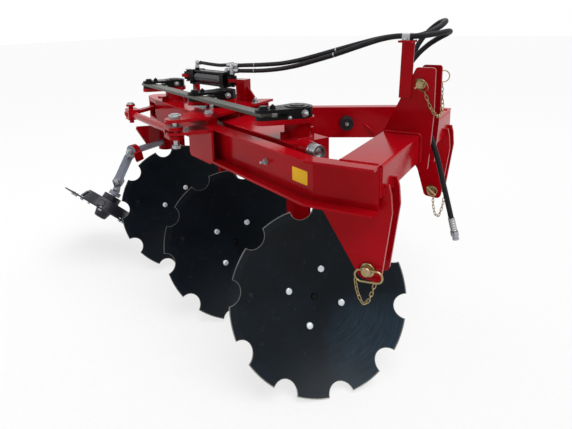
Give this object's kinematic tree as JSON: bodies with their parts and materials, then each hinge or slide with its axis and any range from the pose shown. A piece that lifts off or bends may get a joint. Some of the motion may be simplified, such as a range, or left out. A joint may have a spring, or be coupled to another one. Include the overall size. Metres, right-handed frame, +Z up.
{
  "type": "reversible disc plough",
  "caption": "Tractor-mounted reversible disc plough: tapered hitch frame, swinging beam with notched discs on steered columns, hydraulic cylinder and furrow wheel.",
  "frame": {"origin": "midway between the two lower hitch pins, on their axis", "axes": "+X forward to the tractor, +Y to the left, +Z up"},
  "size_m": [2.1492, 1.2467, 1.2766],
  "materials": {
    "red_paint": "gloss enamel",
    "black_paint": "satin",
    "disc_steel": "satin black lacquer",
    "grey_paint": "satin",
    "bare_steel": "mill finish, oiled",
    "zinc": "bright zinc plate",
    "yellow_zinc": "yellow passivated zinc",
    "rubber": "matt"
  },
  "bodies": {
    "frame": {"channel_right": "red_paint", "channel_left": "red_paint", "cross_beam": "red_paint", "bridge_top": "red_paint", "bridge_bottom": "red_paint", "mast": "red_paint", "hitch_plates_right": "red_paint", "hitch_plates_left": "red_paint", "lower_pin_right": "yellow_zinc", "lower_pin_left": "yellow_zinc", "top_pin": "yellow_zinc", "hose_post": "red_paint", "hose_clamp": "zinc", "buffer_right": "rubber", "buffer_left": "rubber", "cylinder_bracket": "red_paint", "link_bolt": "zinc", "feed_hose": "rubber", "return_hose": "rubber", "feed_coupling": "zinc", "return_coupling": "zinc"},
    "beam": {"beam": "red_paint", "beam_nose": "red_paint", "beam_end_ring": "zinc", "cylinder_arm": "red_paint"},
    "tie_bar": {"tie_bar": "bare_steel"},
    "barrel": {"barrel": "black_paint", "cylinder_ports": "zinc"},
    "rod": {"piston_rod": "black_paint"},
    "wheel_carrier": {"wheel_carrier": "red_paint", "wheel_arm": "grey_paint", "wheel_axle": "zinc"},
    "furrow_wheel": {"furrow_wheel": "black_paint"},
    "steering_link": {"steering_link": "red_paint"},
    "column_front": {"column_front": "red_paint", "lever_front": "black_paint"},
    "disc_front": {"hub_front": "black_paint", "disc_front": "disc_steel"},
    "column_middle": {"column_middle": "red_paint", "lever_middle": "black_paint"},
    "disc_middle": {"hub_middle": "black_paint", "disc_middle": "disc_steel"},
    "column_rear": {"column_rear": "red_paint", "lever_rear": "black_paint"},
    "disc_rear": {"hub_rear": "black_paint", "disc_rear": "disc_steel"}
  },
  "joints": [
    {"name": "beam_swing", "type": "hinge", "parent": "frame", "child": "beam", "pos_m": [-0.894, 0, 0.3], "axis": [0, 0, 1], "range_deg": [0, 51.2]},
    {"name": "front_column_turn", "type": "hinge", "parent": "beam", "child": "column_front", "pos_m": [-0.37274, -0.24975, 0.3], "axis": [0, 0, 1], "range_deg": [0, 40.62]},
    {"name": "front_disc_spin", "type": "hinge", "parent": "column_front", "child": "disc_front", "pos_m": [-0.23773, -0.38906, -0.215], "axis": [0.647, -0.6677, 0.3681], "continuous": true},
    {"name": "middle_column_turn", "type": "hinge", "parent": "beam", "child": "column_middle", "pos_m": [-0.894, 0, 0.3], "axis": [0, 0, 1], "range_deg": [0, 40.62]},
    {"name": "middle_disc_spin", "type": "hinge", "parent": "column_middle", "child": "disc_middle", "pos_m": [-0.75899, -0.13932, -0.215], "axis": [0.647, -0.6677, 0.3681], "continuous": true},
    {"name": "rear_column_turn", "type": "hinge", "parent": "beam", "child": "column_rear", "pos_m": [-1.41526, 0.24975, 0.3], "axis": [0, 0, 1], "range_deg": [0, 40.62]},
    {"name": "rear_disc_spin", "type": "hinge", "parent": "column_rear", "child": "disc_rear", "pos_m": [-1.28025, 0.11043, -0.215], "axis": [0.647, -0.6677, 0.3681], "continuous": true},
    {"name": "tie_bar_pin", "type": "hinge", "parent": "column_front", "child": "tie_bar", "pos_m": [-0.4526, -0.36595, 0.468], "axis": [0, 0, 1], "range_deg": [-40.62, 0]},
    {"name": "cylinder_swing", "type": "hinge", "parent": "frame", "child": "barrel", "pos_m": [-0.94, 0.145, 0.5], "axis": [0, 0, 1], "range_deg": [0, 53.46]},
    {"name": "rod_slide", "type": "slide", "parent": "barrel", "child": "rod", "axis": [-0.9563, 0.2924, 0], "range_m": [0, 0.13044]},
    {"name": "carrier_steer", "type": "hinge", "parent": "beam", "child": "wheel_carrier", "pos_m": [-1.56857, 0.3232, 0.28], "axis": [0, 0, 1], "range_deg": [-59.52, 0]},
    {"name": "furrow_wheel_spin", "type": "hinge", "parent": "wheel_carrier", "child": "furrow_wheel", "pos_m": [-1.704, -0.086, -0.247], "axis": [0.195, 0.655, 0.73], "continuous": true},
    {"name": "link_swing", "type": "hinge", "parent": "frame", "child": "steering_link", "pos_m": [-0.9, -0.343, 0.336], "axis": [0, 0, 1], "range_deg": [0, 52.39]}
  ],
  "couplings": [
    {"joint": "front_column_turn", "follows": "beam_swing", "ratio": 0.79297},
    {"joint": "middle_column_turn", "follows": "beam_swing", "ratio": 0.79297},
    {"joint": "rear_column_turn", "follows": "beam_swing", "ratio": 0.79297},
    {"joint": "tie_bar_pin", "follows": "beam_swing", "ratio": -0.79297},
    {"joint": "cylinder_swing", "follows": "beam_swing", "ratio": 1.0438},
    {"joint": "rod_slide", "follows": "beam_swing", "m_per_rad": 0.14575},
    {"joint": "carrier_steer", "follows": "beam_swing", "ratio": -1.162},
    {"joint": "link_swing", "follows": "beam_swing", "ratio": 1.0229}
  ]
}
